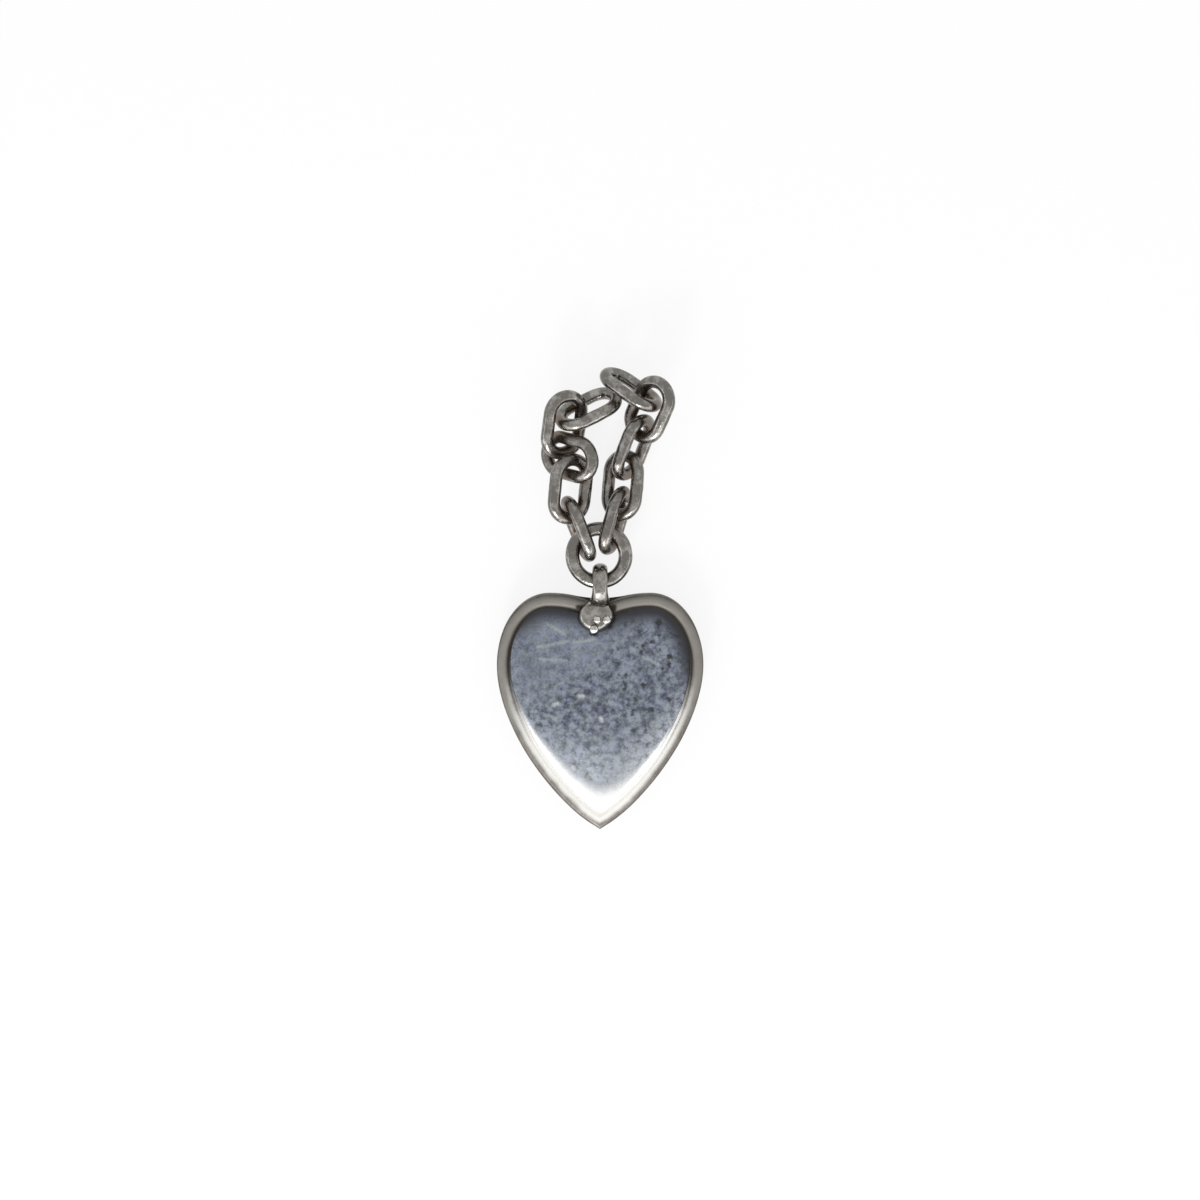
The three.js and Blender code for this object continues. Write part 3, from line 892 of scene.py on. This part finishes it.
for number, node in enumerate(BEAD_NODES, start=1):
    bead_low, bead_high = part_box(node)
    bead_middle = (bead_low + bead_high) / 2 - Vector((0, 0, BEAD_SINK))
    bm = bmesh.new()
    verts = bmesh.ops.create_icosphere(bm, subdivisions=BEAD_DETAIL, radius=0.5)["verts"]
    bmesh.ops.scale(bm, verts=verts, vec=bead_high - bead_low)
    bmesh.ops.translate(bm, verts=verts, vec=bead_middle)
    hand_work(bm, amount_mm=0.09, size_mm=0.5, seed=FOOT_SEED + number)
    bead = finish_piece(bm, f"solder_bead_{number}", node, drop_silver)
    mark_nearness(bead, "closeness", ["eye_foot"], reach_mm=0.3)

# %% [markdown]
# A link is a length of round wire bent into a long loop. A circle is spun half a turn round one end,
# extruded along the straight side in short steps, spun round the other end, and extruded back until
# the ends merge. The closing solder joint swells one straight side a little. Worn wire is a little thin,
# which also leaves room for one link to swing in the next.

# %% Wire loops
WIRE_SIDES = 24
BEND_STEPS = 26
STRAIGHT_STEPS = 8
SEAM_SWELL = 0.04
SEAM_LENGTH = 0.5 * MM
ROOM_TO_SWING = 0.97
JOIN_REACH = 0.001 * MM


def ring_of(made):
    return only((bmesh.types.BMVert, bmesh.types.BMEdge), made)


def run_straight(bm, section, run):
    for _ in range(STRAIGHT_STEPS):
        edges = only(bmesh.types.BMEdge, section)
        verts, edges = new_loop(bmesh.ops.extrude_edge_only(bm, edges=edges)["geom"])
        bmesh.ops.translate(bm, verts=verts, vec=(run / STRAIGHT_STEPS, 0, 0))
        section = verts + edges
    return section


def wire_loop(length, width, wire):
    """A closed loop of round wire on the table, long along X, round its own middle."""
    bend = (width - wire) / 2
    reach = (length - width) / 2
    half_turn = {"axis": (0, 0, 1), "angle": math.pi, "steps": BEND_STEPS}
    bm = bmesh.new()
    verts = bmesh.ops.create_circle(bm, segments=WIRE_SIDES, radius=ROOM_TO_SWING * wire / 2)["verts"]
    bmesh.ops.rotate(bm, verts=verts, matrix=Matrix.Rotation(math.pi / 2, 3, "Y"))
    bmesh.ops.translate(bm, verts=verts, vec=(reach, -bend, 0))
    section = bm.verts[:] + bm.edges[:]
    section = ring_of(bmesh.ops.spin(bm, geom=section, cent=(reach, 0, 0), **half_turn)["geom_last"])
    section = run_straight(bm, section, -2 * reach)
    section = ring_of(bmesh.ops.spin(bm, geom=section, cent=(-reach, 0, 0), **half_turn)["geom_last"])
    run_straight(bm, section, 2 * reach)
    bmesh.ops.remove_doubles(bm, verts=bm.verts, dist=JOIN_REACH)
    bmesh.ops.recalc_face_normals(bm, faces=bm.faces)
    for vert in bm.verts:
        if vert.co.y > 0:
            swell = SEAM_SWELL * math.exp(-(vert.co.x / SEAM_LENGTH) ** 2)
            vert.co.y = bend + (vert.co.y - bend) * (1 + swell)
            vert.co.z *= 1 + swell
    return bm


# %% [markdown]
# Each CAD link already lies where the photograph shows it, turned and tilted. Its own vertices tell
# how: their mean is the middle of the link, and the three principal directions of the cloud are its
# long axis, its width and the way it faces. The wire loop is turned onto those axes. The CAD wire has
# eight flat sides, so the round wire through its corners is a little thicker than it measures.

# %% Find where a CAD wire lies
CAD_WIRE_SIDES = 8
FACET_SHARE = math.cos(math.pi / CAD_WIRE_SIDES)


def lie_of(node):
    """The CAD wire's placing matrix, and its length, width and wire thickness."""
    points = np.array([vert.co for vert in frame["nodes"][node].data.vertices])
    middle = points.mean(0)
    axes = np.linalg.eigh(np.cov((points - middle).T))[1][:, ::-1]
    axes[:, 2] = np.cross(axes[:, 0], axes[:, 1])
    spans = np.ptp((points - middle) @ axes, axis=0)
    wire = spans[2] / FACET_SHARE
    facet_loss = wire - spans[2]
    matrix = Matrix.Translation(Vector(middle)) @ Matrix(axes.tolist()).to_4x4()
    return matrix, spans[0] + facet_loss, spans[1] + facet_loss, wire


# %% [markdown]
# With that, all ten links come from one function. Each gets its own seed, so its dents are its own,
# and its tarnish comes from its closeness to every other wire near it.

# %% Links
CHAIN_NODES = [n for n in frame["nodes"] if "link" in n or n == "jump_ring"]
LINK_NODES = sorted(n for n in CHAIN_NODES if "link" in n)
FIRST_LINK_SEED = 11


def make_link(node, seed):
    matrix, length, width, wire = lie_of(node)
    bm = wire_loop(length, width, wire)
    hand_work(bm, amount_mm=0.025, size_mm=1.1, seed=seed)
    bmesh.ops.transform(bm, matrix=matrix, verts=bm.verts)
    piece = finish_piece(bm, node + "_wire", node, chain_silver)
    mark_nearness(piece, "closeness", [n for n in CHAIN_NODES if n != node], reach_mm=1.3)


for seed, node in enumerate(LINK_NODES, start=FIRST_LINK_SEED):
    make_link(node, seed)

# %% [markdown]
# The jump ring is the same wire as a plain circle, cut once and pressed shut: a spin that stops just
# short of a full turn, with both ends capped, leaves the fine slit of the cut. The photograph shows no
# cut, so it is turned to lie under the eye.

# %% Jump ring
RING_SLIT = math.radians(2.2)
RING_STEPS = 80


def make_jump_ring():
    matrix, across, _, wire = lie_of("jump_ring")
    radius = (across - wire) / 2
    bm = bmesh.new()
    verts = bmesh.ops.create_circle(bm, segments=WIRE_SIDES, radius=wire / 2)["verts"]
    bmesh.ops.rotate(bm, verts=verts, matrix=Matrix.Rotation(math.pi / 2, 3, "X"))
    bmesh.ops.translate(bm, verts=verts, vec=(radius, 0, 0))
    first_end = bm.edges[:]
    section = bm.verts[:] + first_end
    turn = {"axis": (0, 0, 1), "angle": math.tau - RING_SLIT, "steps": RING_STEPS}
    last = bmesh.ops.spin(bm, geom=section, cent=(0, 0, 0), **turn)["geom_last"]
    last_end = only(bmesh.types.BMEdge, last)
    bmesh.ops.contextual_create(bm, geom=first_end)
    bmesh.ops.contextual_create(bm, geom=last_end)
    bmesh.ops.recalc_face_normals(bm, faces=bm.faces)
    hand_work(bm, amount_mm=0.03, size_mm=1.2, seed=30)
    cut_under_eye = Matrix.Rotation(-math.pi / 2, 4, "Z")
    placing = Matrix.Translation(matrix.translation) @ cut_under_eye
    bmesh.ops.transform(bm, matrix=placing, verts=bm.verts)
    piece = finish_piece(bm, "jump_ring_wire", "jump_ring", chain_silver)
    mark_nearness(piece, "closeness", LINK_NODES + ["eye_ring"], reach_mm=0.9)


make_jump_ring()

# %% [markdown]
# The pendant lies on white. A wide matte floor keeps its soft shadow. Camera and glossy rays see most
# of the floor as plain white, so the picture's ground is white and the metal mirrors it.

# %% Floor
FLOOR_WHITE_SHARE = 0.85
FLOOR_SIZE = 1.5
FLOOR_DROP = 0.03 * MM
FLOOR_PALE = linear(232, 232, 232)
WHITE = (1, 1, 1, 1)


def background_rays(board):
    """1 for rays that look at the background itself, straight or in a mirror, and 0 for its light."""
    path = board.add("ShaderNodeLightPath")
    glossy = path.output("Is Glossy Ray")
    clear = path.output("Is Transmission Ray")
    seen = path.output("Is Camera Ray") + glossy + clear
    return board.add("ShaderNodeClamp", {}, {"Value": seen})


def make_floor():
    material = bpy.data.materials.new("white_floor")
    board = NodeBoard(material)
    matte = board.add("ShaderNodeBsdfDiffuse", {}, {"Color": FLOOR_PALE})
    plain = board.add("ShaderNodeEmission", {}, {"Color": WHITE, "Strength": 1.0})
    share = FLOOR_WHITE_SHARE * background_rays(board)
    surface = board.add("ShaderNodeMixShader", {}, {0: share, 1: matte, 2: plain})
    board.add("ShaderNodeOutputMaterial", {}, {"Surface": surface})
    bm = bmesh.new()
    bmesh.ops.create_grid(bm, x_segments=2, y_segments=2, size=FLOOR_SIZE)
    bmesh.ops.translate(bm, verts=bm.verts, vec=(0, 0, -FLOOR_DROP))
    mesh = bpy.data.meshes.new("floor")
    bm.to_mesh(mesh)
    bm.free()
    mesh.materials.append(material)
    floor = bpy.data.objects.new("floor", mesh)
    scene.collection.objects.link(floor)


make_floor()
print("floor lies", round(FLOOR_DROP / MM, 2), "mm under the pendant")

# %% [markdown]
# The light is a white tent, which gives every metal its own colour, and a half ring of soft panels on
# the tip side of the heart. The tip of the face carries a painted reflection in its finish, and the
# panels brighten it: each point of the dome mirrors one place above, and only the lower slope looks low
# enough towards the tip side to meet a panel. The panels reach higher straight ahead than at the sides,
# so that their reflection roughly keeps to the zone of painted reflection.

# %% World and panels
TENT_LIGHT = 0.8
PANEL_DISTANCE = 0.45
PANEL_STEP = 35
PANEL_FOOT = 12
PANEL_TOPS = {-2: 22, -1: 34, 0: 46, 1: 32, 2: 20}
PANEL_BRIGHTNESS = 2.2


def make_world():
    world = bpy.data.worlds.new("white_tent")
    scene.world = world
    board = NodeBoard(world)
    seen = background_rays(board)
    strength = TENT_LIGHT + (1 - TENT_LIGHT) * seen
    tent = board.add("ShaderNodeBackground", {}, {"Color": WHITE, "Strength": strength})
    board.add("ShaderNodeOutputWorld", {}, {"Surface": tent})


def make_lamp(side, climb, width, height, brightness):
    """A flat lamp on the tip side, turned round the heart and lifted by two angles in degrees."""
    lamp = bpy.data.lights.new("lamp", "AREA")
    lamp.shape = "RECTANGLE"
    lamp.size = width
    lamp.size_y = height
    lamp.energy = brightness * math.pi * width * height
    holder = bpy.data.objects.new("lamp", lamp)
    scene.collection.objects.link(holder)
    turn = Matrix.Rotation(math.radians(side), 3, "Z") @ Matrix.Rotation(math.radians(-climb), 3, "X")
    away = turn @ Vector((0, -1, 0))
    holder.location = away * PANEL_DISTANCE
    holder.rotation_euler = (-away).to_track_quat("-Z", "Y").to_euler()


def make_panel(number, top):
    climb = (PANEL_FOOT + top) / 2
    half_step = math.radians(PANEL_STEP / 2)
    width = 2 * PANEL_DISTANCE * math.tan(half_step) * math.cos(math.radians(climb))
    height = 2 * PANEL_DISTANCE * math.tan(math.radians(top - climb))
    make_lamp(number * PANEL_STEP, climb, width, height, PANEL_BRIGHTNESS)


make_world()
for number, top in PANEL_TOPS.items():
    make_panel(number, top)
print("lit by the tent and", len(PANEL_TOPS), "panels")

# %% [markdown]
# One small strong lamp stands low among the panels. It is too low for the dome to mirror it to this
# camera, but every round wire, the eye and the solder drops catch it as a small bright spot.

# %% Spark lamp
SPARK_SIDE = -14
SPARK_CLIMB = 31
SPARK_SIZE = 0.1
SPARK_BRIGHTNESS = 36.0
make_lamp(SPARK_SIDE, SPARK_CLIMB, SPARK_SIZE, SPARK_SIZE, SPARK_BRIGHTNESS)
print("spark lamp stands", SPARK_CLIMB, "degrees up")
